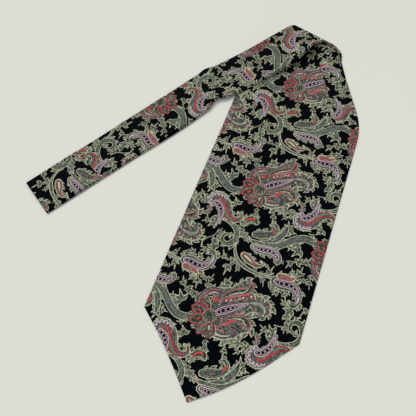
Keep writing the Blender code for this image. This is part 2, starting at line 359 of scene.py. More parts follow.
def linear(value):
    value = value / 255
    return value / 12.92 if value < 0.04045 else ((value + 0.055) / 1.055) ** 2.4


INK_COLOURS = np.array([[linear(c) for c in INKS[name]] + [1.0] for name in INK_NAMES])
FLECKED = {"sage": 1.0, "moss": 1.0, "slate": 0.45, "cream": 0.35, "plum": 0.6, "crimson": 0.3}
FLECKS = np.array([FLECKED.get(name, 0.0) for name in INK_NAMES])


def inside(outline, points):
    """Which points lie inside an outline, also where it crosses itself."""
    a, b = outline, np.roll(outline, -1)
    turns = np.zeros(len(points), int)
    for p, q in zip(a, b):
        if p.imag == q.imag:
            continue
        low, high = min(p.imag, q.imag), max(p.imag, q.imag)
        near = (points.imag >= low) & (points.imag < high)
        if not near.any():
            continue
        at = p.real + (points[near].imag - p.imag) * (q.real - p.real) / (q.imag - p.imag)
        turns[near] += np.where(points[near].real < at, 1 if q.imag > p.imag else -1, 0)
    return turns != 0


def spline(points, count):
    """A smooth open curve through the points."""
    points = np.array(points, complex)
    padded = np.concatenate([[2 * points[0] - points[1]], points, [2 * points[-1] - points[-2]]])
    place = np.linspace(0, len(points) - 1, count)
    i = np.minimum(place.astype(int), len(points) - 2)
    t = place - i
    a, b, c, d = padded[i], padded[i + 1], padded[i + 2], padded[i + 3]
    return b + t / 2 * (c - a + t * (2 * a - 5 * b + 4 * c - d + t * (3 * (b - c) + d - a)))


def ring_through(points, count):
    """A smooth closed curve through the points."""
    points = np.array(points, complex)
    around = np.concatenate([points[-2:], points, points[:3]])
    return spline(around, (len(around) - 1) * 12 + 1)[24:-24][:: max(1, len(points) * 12 // count)]


def side_of(curve):
    """The unit vector to the left of a curve at each of its points."""
    run = np.gradient(curve)
    return 1j * run / np.abs(run)


def spread_along(values, count):
    return np.interp(np.linspace(0, 1, count), np.linspace(0, 1, len(values)), values)


def at_share(curve, share):
    """Points of a curve at shares of its length, going straight on past its ends."""
    length = np.concatenate([[0], np.cumsum(np.abs(np.diff(curve)))])
    share = np.asarray(share, float)
    wanted = share * length[-1]
    inner = np.interp(wanted, length, curve.real) + 1j * np.interp(wanted, length, curve.imag)
    last, first = curve[-1] - curve[-2], curve[1] - curve[0]
    over = np.maximum(wanted - length[-1], 0)
    under = np.minimum(wanted, 0)
    return inner + over * last / abs(last) + under * first / abs(first)


def length_of(curve):
    return np.abs(np.diff(curve)).sum()


def ribbon(curve, half):
    side = side_of(curve) * half
    return np.concatenate([curve + side, (curve - side)[::-1]])


def circle(centre, radius, count):
    return centre + radius * np.exp(2j * math.pi * (np.arange(count) + 0.5) / count)


def at_inset(ring, inset):
    """A closed curve drawn in towards its own inside."""
    run = np.roll(ring, -1) - np.roll(ring, 1)
    area = (ring.real * np.roll(ring, -1).imag - ring.imag * np.roll(ring, -1).real).sum()
    return ring + (1j if area > 0 else -1j) * run / np.abs(run) * inset


def heading(degrees):
    return cmath.exp(1j * math.radians(degrees))


def numbers(text):
    return [float(value) for value in text.split()]


def bands_of(text):
    """(ink, inset) pairs from a text like "cream 0, sage 0.6"."""
    pairs = [band.split() for band in text.split(",")]
    return [(ink, float(inset)) for ink, inset in pairs]


# A lobe of a leaf, over along its spine and out from it, and what lies inside its edge
LOBE = np.array([
    -0.5 - 0.2j, -0.62 + 0.28j, -0.46 + 0.68j, -0.02 + 0.96j,
    0.5 + 1.0j, 0.44 + 0.7j, 0.34 + 0.4j, 0.5 - 0.2j,
])
LOBE_HEART = np.array([
    -0.38 - 0.3j, -0.48 + 0.28j, -0.34 + 0.6j, 0.0 + 0.84j,
    0.34 + 0.88j, 0.24 + 0.62j, 0.18 + 0.34j, 0.36 - 0.3j,
])
LOBE_INKS = (("cream", LOBE, 0.0), ("sage", LOBE_HEART, 0.5))  # ink, shape and inset of the spine
LOBES_PER_TOOTH = 0.37
LOBES_PER_HEM = 0.8
HEM_HEIGHTS = (0.7, 1.1, 0.8, 1.15)
HEM_TAPER = 0.35
PETAL = np.array([0.1, 0.3 + 0.4j, 0.6 + 0.5j, 0.84 + 0.34j, 1.0])
PETAL = np.concatenate([PETAL, np.conj(PETAL[1:-1])[::-1]])
PETAL_MIDDLE = 0.6


class Print:
    """The shapes of one repeat, painted one over another. A path is a text like "1 2, 3 4", and
    half widths are one like "1 2 1", spread evenly along the path."""

    def __init__(self):
        self.shapes = []  # in every column
        self.single = []  # in every other column alone
        self.now = self.shapes
        self.origin = 0

    def spots(self, path):
        """The points of a path, or the path itself where it is a list of points already."""
        if isinstance(path, str):
            return [self.origin + complex(*numbers(pair)) for pair in path.split(",")]
        return path

    def curve(self, path, fine=8):
        points = self.spots(path)
        return spline(points, fine * len(points))

    def paint(self, ink, outline):
        self.now.append((INK_NAMES.index(ink), np.asarray(outline)))

    def line(self, path, widths, ink, count):
        """A line that swells between the given half widths."""
        curve = at_share(self.curve(path, 6), np.linspace(0, 1, count))
        self.paint(ink, ribbon(curve, spread_along(numbers(widths), count)))

    def drop(self, path, widths, bands, count):
        """A comma or band of nested inks, from outside in."""
        curve, widths = self.curve(path), numbers(widths)
        length = length_of(curve)
        for ink, inset in bands_of(bands):
            share = np.linspace(0.7 * inset / length, 1 - 1.2 * inset / length, count)
            half = np.interp(share, np.linspace(0, 1, len(widths)), widths) - inset
            keep = half > 0.15
            if keep.sum() < 3:
                continue
            body = at_share(curve, share[keep])
            side = side_of(body)
            half = half[keep]
            head = body[0] - (-1j * side[0]) * half[0] * np.array([0.75, 1.0, 0.75])
            head += side[0] * half[0] * np.array([-0.65, 0.0, 0.65])
            self.paint(ink, np.concatenate([body + side * half, (body - side * half)[::-1], head]))

    def lobe(self, ink, shape, root, run, side, wide, tall, lean):
        """One hooked lobe, or its heart, that leans along its run."""
        over = shape.real * wide + lean * np.maximum(shape.imag, 0) * tall
        self.paint(ink, root + run * (over + 1j * side * shape.imag * tall))

    def frond(self, path, widths, teeth, tooth, lean, sides=(1, -1), vein="moss"):
        """A leaf of hooked lobes along a spine."""
        curve, widths = self.curve(path), numbers(widths)
        length = length_of(curve)
        count = max(2, round(LOBES_PER_TOOTH * teeth))
        shares = (np.arange(count) + 0.35) / count
        places = at_share(curve, shares)
        runs = at_share(curve, shares + 0.02) - at_share(curve, shares - 0.02)
        runs /= np.abs(runs)
        halves = np.interp(shares, np.linspace(0, 1, len(widths)), widths)
        taper = 0.7 + 0.3 * np.sin(math.pi * (np.arange(count) + 0.8) / (count + 0.8))
        tall = 0.36 * halves + 0.92 * tooth * taper
        wide = np.minimum(1.06 * length / count, 1.3 * tall)
        body = np.array(widths) * 0.45
        body[-1] = 0.3
        rows = len(curve) // 4
        long = at_share(curve, np.linspace(0, 1 + 0.9 * tooth / length, rows + 1))
        for ink, shape, inset in LOBE_INKS:
            half = spread_along(body, rows + 1) - inset
            if half.max() > 0.3:
                self.paint(ink, ribbon(long[half > 0.1], half[half > 0.1]))
            for i in range(count):
                for side in sides:
                    root = places[i] + 0.42j * side * runs[i] * halves[i]
                    self.lobe(ink, shape, root, runs[i], side, wide[i], tall[i], 0.4 * lean)
        if vein:
            self.line(path, "0.2 0.45 0.4 0.15", vein, rows)

    def sprig(self, *leaf, sides=(1, -1)):
        """A small leaf, without a vein."""
        self.frond(*leaf, sides, None)

    def fringe(self, edge, count, tall, lean):
        """Hooked lobes side by side along the left of a curve."""
        self.hem(edge, np.full(max(2, round(LOBES_PER_HEM * count)), tall), lean, 1)

    def skirt(self, path, widths, counts, tall, lean=0.5):
        """Lobes along the left and the right edge of a drop."""
        curve = self.curve(path)
        half = spread_along(numbers(widths), len(curve))
        for side, count in zip((1, -1), counts):
            count = round(LOBES_PER_HEM * count)
            if count:
                talls = tall * (1 - HEM_TAPER * np.arange(count) / count)
                self.hem(curve + side * side_of(curve) * half, talls, lean, side)

    def hem(self, edge, talls, lean, side):
        """Hooked lobes of the given heights along one edge."""
        count = len(talls)
        share = (np.arange(count) + 0.5) / count
        place = at_share(edge, share)
        run = at_share(edge, share + 0.4 / count) - at_share(edge, share - 0.4 / count)
        wide = np.maximum(np.abs(run), 0.5)
        tall = talls * np.resize(HEM_HEIGHTS, count)
        for ink, shape, _ in LOBE_INKS:
            for k in range(count):
                broad = min(1.25 * wide[k], 1.7 * tall[k])
                self.lobe(ink, shape, place[k], run[k] / wide[k], side, broad, tall[k], 0.5 * lean)

    def leafy(self, path, widths, counts, tall, bands, count, lean=0.5):
        """A drop on its own skirt of lobes."""
        self.skirt(path, widths, counts, tall, lean)
        self.drop(path, widths, bands, count)

    def beads(self, path, count, radii, ink, sides):
        centres = at_share(self.curve(path), np.linspace(0, 1, count))
        for centre, radius in zip(centres, spread_along(numbers(radii), count)):
            self.paint(ink, circle(centre, radius, sides))

    def beaded(self, path, widths):
        """A drop of dark beads in a light rim."""
        curve = self.curve(path)
        self.drop(path, widths, "lavender 0, plum 0.7", len(curve) // 2)
        widths, length = numbers(widths), length_of(curve)
        share = 0.05
        while share < 0.9:
            size = np.interp(share, np.linspace(0, 1, len(widths)), widths) - 1.0
            if size < 0.6:
                break
            centre = at_share(curve, [share])[0]
            self.paint("lavender", circle(centre, size * 0.95, 7))
            self.paint("ink", circle(centre, size - 0.6, 6))
            share += 1.75 * size / length

    def scallops(self, path, count, radius, ink, inner):
        places = at_share(self.curve(path), np.linspace(0, 1, count))
        for now, size, sides in ((ink, radius, 8), (inner, radius - 1.0, 6)):
            for centre in places:
                self.paint(now, circle(centre, size, sides))

    def petal(self, root, degrees, length, width, bands):
        """A pointed petal, inks from outside in."""
        for ink, inset in bands_of(bands):
            share_x, share_y = 1 - 2 * inset / length, 1 - 2 * inset / width
            if share_y > 0.08:
                x = PETAL_MIDDLE + (PETAL.real - PETAL_MIDDLE) * share_x
                leaf = x * length + 1j * PETAL.imag * share_y * width
                self.paint(ink, root + heading(degrees) * leaf)


def medallion(p):
    """The big flower head with its hooked plumes, around the middle of its flower."""
    o = p.origin = complex(-10.8, 88.3)
    # sprigs that stand off the rim
    p.frond("-13 28, -15 35, -13 43", "1.8 1.6 0.5", 4, 2.8, 0.7)
    p.frond("4 34, 5 40, 6 46", "4 3.4 1", 3, 3.6, 0.1)
    p.frond("22 -19, 27 -25, 28 -34", "2.2 2.4 0.5", 4, 2.6, 0.6)
    p.frond("4 -26, 8 -30, 7 -37", "2 1.8 0.5", 4, 2.2, 0.5)
    p.sprig("-21 -12, -26 -17, -30 -18", "1.5 1.3 0.4", 3, 1.8, 0.5)
    # the body and its rim of small leaves
    edge = p.spots(
        "-17 4, -18 12, -15 21, -10 28, -3 33, 7 36, 14 41, 18 47, 23 52, 30 52, 35 47, 36 40, 45 40, "
        "55 38, 60 32, 60 24, 54 19, 46 21, 39 18, 37 13, 43 11, 47 5, 44 -2, 38 -6, 33 -13, 25 -18, "
        "14 -20, 5 -19, -4 -17, -10 -15, -15 -10, -17 -3"
    )
    rim = ring_through(edge, 90)
    # each stretch of the rim as start, end, number of lobes and their height
    stretches = (
        (0.0, 0.23, 9, 3.0), (0.23, 0.36, 5, 3.8), (0.36, 0.50, 6, 4.6),
        (0.50, 0.62, 5, 5.2), (0.62, 0.8, 7, 5.6), (0.80, 1.0, 8, 3.6),
    )
    for start, end, count, tall in stretches:
        p.fringe(at_share(rim, np.linspace(start, end, 24)), count, tall, 0.35)
    p.paint("cream", rim)
    for ink, inset in bands_of("sage 0.8, slate 2.2, sage 3.2"):
        p.paint(ink, at_inset(rim, inset))
    # small spots all over the body, in rows that lean with its middle drop
    spot_inks = ("rose", "ink", "cream", "moss", "crimson", "ink", "plum")
    body = at_inset(rim, 2.2) - o
    lean = cmath.exp(0.66j)
    for row in range(-9, 10):
        for k in range(-3, 19):
            spot = (3.5 * k + 1.7 * (row % 2) + 1j * 3.1 * row) * lean + complex(4, 6)
            if inside(body, np.array([spot]))[0]:
                ink = spot_inks[(3 * k + 5 * row) % 7]
                slant = lean * cmath.exp(0.5j * (k % 3 - 1))
                p.paint(ink, o + spot + slant * np.array([-1.5, -1.0j, 1.5, 1.0j]))
    # upper left scroll
    scroll = "-17 8, -16 18, -10 27, -2 30, 4 28, 4 24, 0 23"
    p.drop(scroll, "2.2 3.2 3.3 3 2.4 1.8 0.8", "slate 0, plum 0.8, rose 1.9, sage 2.4", 28)
    p.line("-13 12, -11 20, -5 26, 0 26", "0.5 0.6 0.6 0.4", "cream", 10)
    # the notched leaf under it
    p.drop("-8 9, -9 16, -4 24", "4.4 5.2 1", "rose 0, moss 1, ink 2", 12)
    for x, y in ((-9, 11), (-8.6, 14), (-8, 17), (-6, 20)):
        ends = [o + complex(x - 1.6, y - 0.3), o + complex(x + 1.6, y + 0.5)]
        p.line(ends, "0.5 0.4", "cream", 3)
    # the upper hooked plume
    plume = "5 22, 11 29, 19 35, 28 40, 32 46, 29 51, 24 50"
    p.drop(plume, "2.6 4.6 5 5.2 4.6 3 1", "slate 0, sage 0.7, rose 1.5, moss 2.3", 30)
    p.line("9 26, 18 33.2, 27 38.9, 29.7 45", "0.4 1.3 1.3 0.4", "sage", 12)
    p.line("9 25.5, 18 33, 27 38.5, 29.5 44", "0.2 0.5 0.5 0.3", "cream", 12)
    p.line("8 23, 16 28, 26 34, 33 38", "0.4 0.6 0.6 0.3", "rose", 12)
    dots = p.spots("25 36, 29 37, 33 40, 35 44, 34 48, 30 52, 21 40, 15 36, 10 32")
    for k, z in enumerate(dots):
        p.paint("rose" if k % 2 else "coral", circle(z, 0.9, 5))
    # small teeth and solid flames between plume and middle drop
    for x, y, a, l in ((0.5, 19, 84, 8), (9, 24, 48, 6.5), (25, 33, 44, 6)):
        p.petal(o + complex(x, y - l / 2), a, l, 3.6, "ink -0.3, coral 0.4")
    for k in range(9):
        z = o + complex(6 + 4 * k, 17.5 + 2.3 * k)
        outer, inner = ("sage", "rose")[k % 2], ("crimson", "cream", "cream")[k % 3]
        p.petal(z, 62, 4.6, 3, outer + " 0, " + inner + " 0.8")
    for k in range(6):
        z = o + complex(9 + 4 * k, 2 + 2.4 * k)
        p.petal(z, 20, 5.4, 3.4, "rose 0, sage 0.8, cream 1.3")
    # the middle drop and its tail
    tail = "31 26, 39 30, 48 31, 54 27, 53 21, 48 19"
    p.drop(tail, "2.4 3.4 4.2 4 3.2 1", "plum 0, sage 0.7, slate 1.6, cream 3, slate 3.5", 26)
    beads = spline(p.spots("33 32, 41 36, 50 37, 58 31, 58 24, 52 20"), 40)
    for k, t in enumerate(np.linspace(0.1, 0.95, 11)):
        z = at_share(beads, [t])[0]
        p.paint(("rose", "cream", "crimson")[k % 3], circle(z, 1.15, 5))
    middle = "4 4, 11 10, 19 16, 27 22, 35 28"
    p.drop(middle, "4.8 6.6 6 4.2 1.6", "moss -0.6, slate 0.1, plum 1", 18)
    p.beaded(middle, "2.8 4.3 3.8 2.6 0.9")
    # the lower right plume
    low_plume = "14 -2, 22 5, 31 8, 39 9, 43 4, 41 -2"
    p.drop(low_plume, "2.6 4 4.8 5 4 1.2", "slate 0, sage 0.7, rose 1.5, moss 2.3", 24)
    p.line("18 2, 27 7, 35 8.4, 40 4", "0.4 1.2 1.2 0.3", "sage", 12)
    p.line("18 2, 27 7, 35 8.4, 40 4", "0.2 0.5 0.5 0.2", "cream", 10)
    p.beads("26 12, 35 14.5, 42 11, 46 4, 42 -4", 8, "0.9 0.9", "rose", 5)
    # the long flame
    p.drop("31 6, 25 4, 20 -1.5, 12.5 -6", "0.4 1.5 1.5 0.5", "moss -0.6, rose 0.1", 14)
    p.drop("28 5.4, 24 3, 20 -1.5", "0.4 1.2 0.6", "coral 0", 8)
    # the lower crescent
    crescent = "0 -10, 8 -14, 18 -15.5, 27 -12, 31 -6, 28 -2, 24 -4"
    p.drop(crescent, "2 4 4.6 4.6 4 2.6 1", "slate 0, plum 0.8, sage 2.2, plum 2.9, cream 3.7", 28)
    p.line("3 -8, 12 -10.5, 20 -9", "0.4 0.7 0.4", "rose", 8)
    p.line("2 -14.5, 12 -19, 22 -18.5, 31 -13", "0.4 0.6 0.6 0.4", "cream", 12)
    for k in range(5):
        p.paint("cream", circle(o + complex(14 + 3.2 * k, -13.2 + 0.35 * k * k), 0.6, 4))
    # petals
    shaded = "ink -0.8, crimson 0, moss 0.9, rose 1.7, sage 2.3"
    bright = "ink -0.8, coral 0, ink 0.85, rose 1.5, sage 2.1, moss 3.4"
    for angle in (120, 155, 192, 235, 273, 305):
        p.petal(o, angle, 23.5, 7.5, "cream 0, sage 0.7")
    for angle, length, width, bands in (
        (138, 21, 9, shaded), (289, 24, 11.5, shaded), (171, 23, 13.5, bright),
        (214, 23.5, 13.5, bright), (256, 24, 12.5, shaded),
    ):
        p.petal(o, angle, length, width, bands)
    for angle, ink in ((171, "coral"), (214, "coral"), (256, "coral"), (289, "cream")):
        p.petal(o + 9.5 * heading(angle), angle, 6, 2.1, ink + " 0")
    for angle in (192, 235, 273):
        p.line([o + r * heading(angle) for r in (8, 14, 19)], "0.5 0.6 0.2", "slate", 4)
    # the eye
    for ink, radius in bands_of("rose 8, sage 7.2, moss 5.6, sage 4.6, ink 3.3, sage 2.4, ink 1.1"):
        p.paint(ink, circle(o, radius, 14))
    for k in range(10):
        p.paint("cream", circle(o + 6.4 * cmath.exp(0.628j * k), 0.55, 4))
        p.paint("rose", circle(o + 4.8 * cmath.exp(0.628j * k + 0.3j), 0.5, 4))
    p.origin = 0


def swooshes(p):
    """The blue-grey bands that run up from the junction at (0, 187)."""
    bands = "cream 0, slate 0.6, sage 1.3, moss 1.8, slate 2.4"
    # leaf under the upper end of the long band
    p.frond("50 204, 55 200, 57 194, 53 187", "3 5 5 1.6", 6, 3.6, 0.5)
    p.line("51 203, 55 198, 56 192", "1.2 1.8 0.8", "slate", 7)
    p.sprig("51 200, 47 196, 46 191", "2.2 2.2 0.6", 4, 2.2, 0.4)
    # the branch
    p.frond("30 200, 35 208, 38 216, 36 223", "4 4.6 4.6 1.4", 7, 3, 0.8)
    p.sprig("38 208, 43 213, 47 213", "2.2 2 0.5", 3, 2.2, 0.5)
    p.drop("14 189, 24 193.5, 31 201, 35.5 210, 36.5 219", "1.5 3.2 3.8 3.6 1.6", bands, 22)
    # the long band
    long = "3 186.5, 17 186, 31 190, 41 198, 50 206, 60 211, 71 210, 80 207"
    p.drop(long, "2.2 3.8 4.3 4.2 4.4 4.6 4.4 4", bands, 32)
    p.line("6 186, 20 188, 33 194, 43 203, 54 209.5, 66 211", "0.3 0.5 0.5 0.5 0.5 0.3", "sage", 18)


def small_paisley(p):
    """The crimson-hearted comma that sits on the junction."""
    spine = "4 195, 11 197.5, 19 200.5, 25 206, 25 212.5, 20 215, 16 212"
    p.leafy(spine, "4.2 5.6 4.8 3.8 3 2.2 0.8", (5, 5), 3.4, "cream 0, sage 0.6", 24)
    core = "5 195.5, 11 197.5, 18 200, 23 205, 23.8 210"
    p.drop(core, "2.2 3.6 3 2.4 1", "slate 0, plum 0.9, moss 1.6, sage 2.3", 18)
    p.line("22.4 203.5, 24.4 207.5, 24 211", "0.5 0.95 0.3", "coral", 6)
    p.beads("6 195, 12 197, 17 199", 5, "0.6 0.6", "rose", 4)


def beaded_drop(p):
    """The lavender beaded comma below the junction."""
    rim = "8 180.5, 17 180, 27 181.5, 35 179.5, 39.5 174, 37 169.5"
    p.leafy(rim, "4.8 5.6 5.8 5.4 4.2 2", (4, 5), 3.2, "cream 0, sage 0.6, slate 1.5", 24)
    p.beaded("8.5 180.8, 17 180.6, 27 182, 34.5 179.8, 38 174.5", "2.6 3.6 3.8 3.2 1.2")


def junction(p):
    """The knot and the small leaves to its left."""
    p.frond("-14 196, -8 192, -2 190.5", "1.6 2.4 1.6", 4, 2, 0.3)
    p.frond("-9 192, -5 186.5, -1 183.5", "2.2 2.2 0.8", 4, 1.6, 0.5)
    p.line("-12 192, -6 190, 0 187", "0.5 0.9 0.5", "slate", 7)
    p.paint("cream", circle(complex(-0.5, 187), 3, 9))
    p.paint("plum", circle(complex(-0.5, 187), 2.2, 8))
    p.paint("lavender", circle(complex(-0.3, 187.2), 1.2, 6))


def teardrop(p):
    """The red-lined teardrop, its stem and the leaves that leave the stem."""
    bands = "cream 0, slate 0.8, sage 1.5"
    # the leaves of the stem
    p.frond("-4 160, -8 153, -12 147, -13 139", "1.4 3 3.2 0.8", 6, 3.2, 0.3)
    p.frond("-7 158, -14 155.5, -20 157, -23 163", "1.6 2.6 2.2 0.6", 5, 2.4, 0.5)
    p.frond("-1 155, 0 151, -1.5 146.5", "1.8 2 0.6", 3, 2, 0.3)
    p.frond("22 151, 29 153, 34 158, 36 164.5", "1.2 2.8 2.8 0.6", 5, 2.6, 0.6)
    p.sprig("26 152, 33 153.5, 38 158", "1 1.8 0.5", 3, 1.6, 0.5)
    p.frond("18 151, 26 148.5, 31 145, 32 141.5", "1.2 2 1.8 0.5", 5, 2, 0.5)
    # the stem
    stem = "-14 178, -10.5 167, -4.5 159, 7 153.5, 22 151.5, 41 152.5"
    p.drop(stem, "0.9 1.8 2.6 2.1 1.6 1.2", bands, 24)
    # the drop
    spine = "1 166.5, 7 164, 14 160.5, 21 160.5, 24 164.5, 20 167.5"
    p.leafy(spine, "4.6 5.2 3.8 2.4 1.6 0.6", (5, 4), 2.6, bands, 22)
    red = "0.5 167, 7 164.3, 14 160.8, 20.5 160.8"
    p.drop(red, "2.5 3 1.9 0.6", "crimson 0, mint 1.1, cream 1.9", 16)
    p.sprig("23 164, 27 164.5, 31 163", "1.4 1.4 0.4", 3, 1.6, 0.3)


def fern(p):
    """The rolled fern left of the junction."""
    curl = (
        "-40 199, -32 199.5, -22 196, -16 188, -16.5 178.5, "
        "-23 172.5, -30 175.5, -29.5 182.5, -24 184, -22 180"
    )
    bands = "cream 0, sage 0.7, moss 1.4, sage 1.9, slate 2.6"
    p.leafy(curl, "0.6 1.8 3 3.3 3.4 3.6 3 2.3 1.8 0.8", (13, 0), 4, bands, 40, 0.6)
    p.frond("-33 178, -36 182, -35 187", "1.8 1.6 0.5", 3, 2, 0.3)
    p.sprig("-14 200, -10 202, -8 206", "1.5 1.2 0.4", 3, 1.4, 0.3)


def red_comma(p):
    """The small red comma right of the big paisley."""
    spine = "-15.5 201, -12 207.5, -7 212.5, -1 212, 2 207"
    p.leafy(spine, "1.6 3.2 4 3.8 1.4", (6, 4), 3.2, "cream 0, sage 0.6, moss 1.4", 16)
    p.drop("-13.5 204, -10 210, -5 213.3, -1.5 211.5", "0.5 0.8 1 0.7", "coral 0", 12)
    p.line("-12 203, -9 207.5, -4 210", "0.3 0.6 0.2", "slate", 6)


def big_paisley(p):
    """The red-lined paisley with a scalloped lavender head and the beaded comma in it."""
    # wing leaves to the left and above
    p.frond("-63 219, -70 216, -77 216, -82 220", "2.4 3.2 2.8 0.6", 6, 3, 0.5)
    p.sprig("-66 221, -72 223, -76 227", "1.4 1.6 0.4", 3, 2, 0.5)
    p.frond("-38 220, -32 222, -29 227, -33 231", "1.8 3.4 3.2 0.8", 5, 2.8, 0.4)
    p.frond("-57 210, -60 203, -57 197.5", "2.6 3 0.8", 4, 2.2, 0.4)
    p.drop("-57.5 210, -59 204, -56.5 200", "1.6 1.8 0.5", "slate 0, rose 0.9", 8)
    # the whole shape and its fringe
    outer = "-52 221.5, -45.5 219.5, -39 213, -32 206, -24.5 204, -18.5 208, -20.5 214, -26 214.5"
    p.skirt(outer, "9 9.6 7.6 5.7 4.4 3.4 2.2 0.8", (5, 6), 3.8)
    crown = ring_through(p.spots("-60 212, -65 219, -62 229, -53 233, -44 230, -40 222, -46 214"), 28)
    p.fringe(crown[1:20][::-1], 8, 3.8, 0.4)
    p.paint("cream", crown)
    p.paint("sage", at_inset(crown, 0.8))
    p.drop(outer, "9 9.6 7.6 5.7 4.4 3.4 2.2 0.8", "cream 0, sage 0.8, slate 2, sage 2.8", 34)
    p.paint("sage", at_inset(crown, 1.4))
    # scalloped head
    head = "-57 213, -60.5 217.5, -60.5 223.5, -56.5 228, -50 228.5, -44.5 225"
    p.scallops(head, 8, 2.5, "lavender", "slate")
    inner = "-53.5 221, -46 219, -39 211.5, -32 205.5"
    p.drop(inner, "6.6 6.2 4.4 2", "plum 0, slate 0.9, sage 1.7", 18)
    # the red line with its companion lines
    red = "-55.5 219.5, -52 224, -45.5 222, -39.5 214, -33 207.5, -25 205, -19.5 207.5, -19 212"
    p.line(red, "0.6 1 1 1 0.9 0.9 0.7 0.5", "crimson", 30)
    glow = "-54.5 220.5, -51.5 223.6, -46 221.4, -40 213.6, -33.5 207.6"
    p.line(glow, "0.3 0.45 0.5 0.5 0.3", "coral", 20)
    p.line("-50 220.5, -45.5 217.5, -41 211.5, -35 205.5, -27 202", "0.3 0.7 0.7 0.6 0.3", "mint", 18)
    p.line("-42 207, -36 203, -28 201, -20 203.5", "0.3 0.7 0.8 0.4", "crimson", 14)
    # beaded comma and its fan leaf
    p.frond("-43.5 200, -46 194, -50 188", "3.2 5.6 1.6", 5, 3.8, 0.4)
    p.frond("-47 195, -54 193, -59 190", "2.2 2.6 0.8", 4, 2.4, 0.3)
    p.drop("-44 201, -44 194, -46 188", "2.6 2.8 0.8", "slate 0, sage 1.2", 10)
    comma = "-54 217.5, -49 215.5, -44.5 210, -42.3 203, -42 196, -44 189"
    p.drop(comma, "4.6 5 4.6 3.8 2.8 0.8", "sage 0, slate 0.8", 24)
    p.beaded(comma, "3.4 3.9 3.5 2.7 1.7 0.5")


def twin_paisley(p):
    """The beaded paisley at (58, 151) with a red-lined drop on its back."""
    # fronds above, right and below
    p.frond("60 157, 63 163, 66 168, 67 175", "3.2 3.8 2.8 0.6", 6, 3, 0.7)
    p.sprig("63 163, 59 166.5, 57 170", "2 2 0.6", 3, 1.8, 0.5)
    p.frond("66 160, 71 161, 75 165", "2 2.2 0.5", 3, 2, 0.5)
    p.frond("70 134, 69 127, 66 120, 69 113", "4.6 5.6 3.4 0.6", 7, 3.2, 0.4)
    p.frond("67 130, 61 130.5, 57 133", "2.8 2.8 0.6", 4, 2.2, 0.3)
    p.frond("40 149, 38.5 143.5, 43 140.5, 49 141.5", "2.2 3.2 3 1.2", 5, 1.2, 0.3, vein="slate")
    p.frond("50 144, 49 139.5, 46 136", "2.6 2.6 0.6", 3, 2.4, 0.4)
    p.sprig("58 145, 57 140.5, 59 137", "2.6 2.4 0.6", 3, 2.2, 0.2)
    # body
    spine = "43.5 151, 51 150.5, 59 151.5, 66 150, 72 144, 73.5 137, 70 130.5, 65 131.5, 63.5 136"
    p.leafy(spine, "6.2 7 6.6 5.8 4.8 3.6 2.8 1.8 0.7", (6, 5), 4, "cream 0, sage 0.6, moss 1.6", 34)
    # the red-lined drop
    back = "46.5 157.7, 53 157.8, 58 158.5, 63 161.5"
    p.sprig("45 158, 50 161.5, 57 162.5, 62 163.5", "3.2 3 2 0.8", 5, 2.2, 0.4, sides=(1,))
    p.drop(back, "4.4 4.6 3.4 1.4", "cream 0, slate 0.8, sage 1.4", 16)
    p.drop(back, "2.4 2.8 2 0.6", "coral 0, moss 0.6, rose 1.1, sage 1.7", 16)
    # the beads
    p.drop("72.5 144, 73.2 138, 70.5 133, 67 132.5", "2.4 2.4 1.8 0.6", "slate 0, lavender 1.5", 14)
    beads = "44.5 150.8, 51 150.6, 58 151.8, 64.5 150.8, 69.5 147, 73 141.5"
    p.beaded(beads, "3.4 4.2 4.2 3.6 2.7 0.8")


def sprigs(p):
    """The loose leaves that fill the ground."""
    p.frond("-45 107, -39 107, -34 104, -32 100", "3 3.6 2.6 0.6", 5, 3, 0.3)
    p.frond("38 77, 33 72, 27 70, 22 66", "1 3 3.2 0.8", 5, 2.6, 0.4)
    p.frond("62 183, 57 180, 52 176, 50 171", "1.2 2.8 2.6 0.6", 5, 2.4, 0.4)


def tendrils(p):
    """Two strings of pale beads, each in every other column."""
    p.now = p.single
    for path, radii in (
        ("-38 186, -40 178, -46.5 171.5, -50.5 165.5, -49 159", "0.7 0.75 1.1"),
        ("58 104.5, 66 106, 73 112, 76 119, 81 122", "0.75 0.75 1.2"),
    ):
        p.line(path, "0.35 0.35", "sage", 16)
        p.beads(path, 16, radii, "cream", 5)
    p.now = p.shapes


def painted():
    p = Print()
    for motif in (
        sprigs, teardrop, fern, swooshes, junction, small_paisley, beaded_drop, red_comma,
        big_paisley, twin_paisley, medallion, tendrils,
    ):
        motif(p)
    return p


PRINT = painted()


def laid_shapes(placed, low, high):
    """The print's shapes within a box of the print, moved by placed, the reverse placement."""
    found = []
    for m in range(-4, 5):
        for k in range(-3, 9):
            for ink, outline in PRINT.shapes + (PRINT.single if m % 2 == 0 else []):
                turned = outline if m % 2 == 0 else np.conj(outline) + 1j * MIRROR
                z = placed(turned + COLUMN * m + 1j * REPEAT * k)
                if z.real.max() < low.real or z.real.min() > high.real:
                    continue
                if z.imag.max() < low.imag or z.imag.min() > high.imag:
                    continue
                found.append((ink, z))
    return found


def cut_net(points, edges, kept_edges):
    """Triangles through points and edges. Also returns the triangles' sides that stem from the
    first kept_edges edges."""
    flat = [Vector((z.real, z.imag)) for z in points]
    made = delaunay_2d_cdt(flat, edges, [], 0, 1e-4, True)
    net = np.array([complex(p.x, p.y) for p in made[0]])
    triangles = np.array([f for f in made[2] if len(f) == 3])
    stem = [side for side, origin in zip(made[1], made[4]) if any(e < kept_edges for e in origin)]
    return net, triangles, np.array(stem).reshape(-1, 2)


def within(outline, net, triangles):
    return triangles[inside(outline, net[triangles].mean(1))]


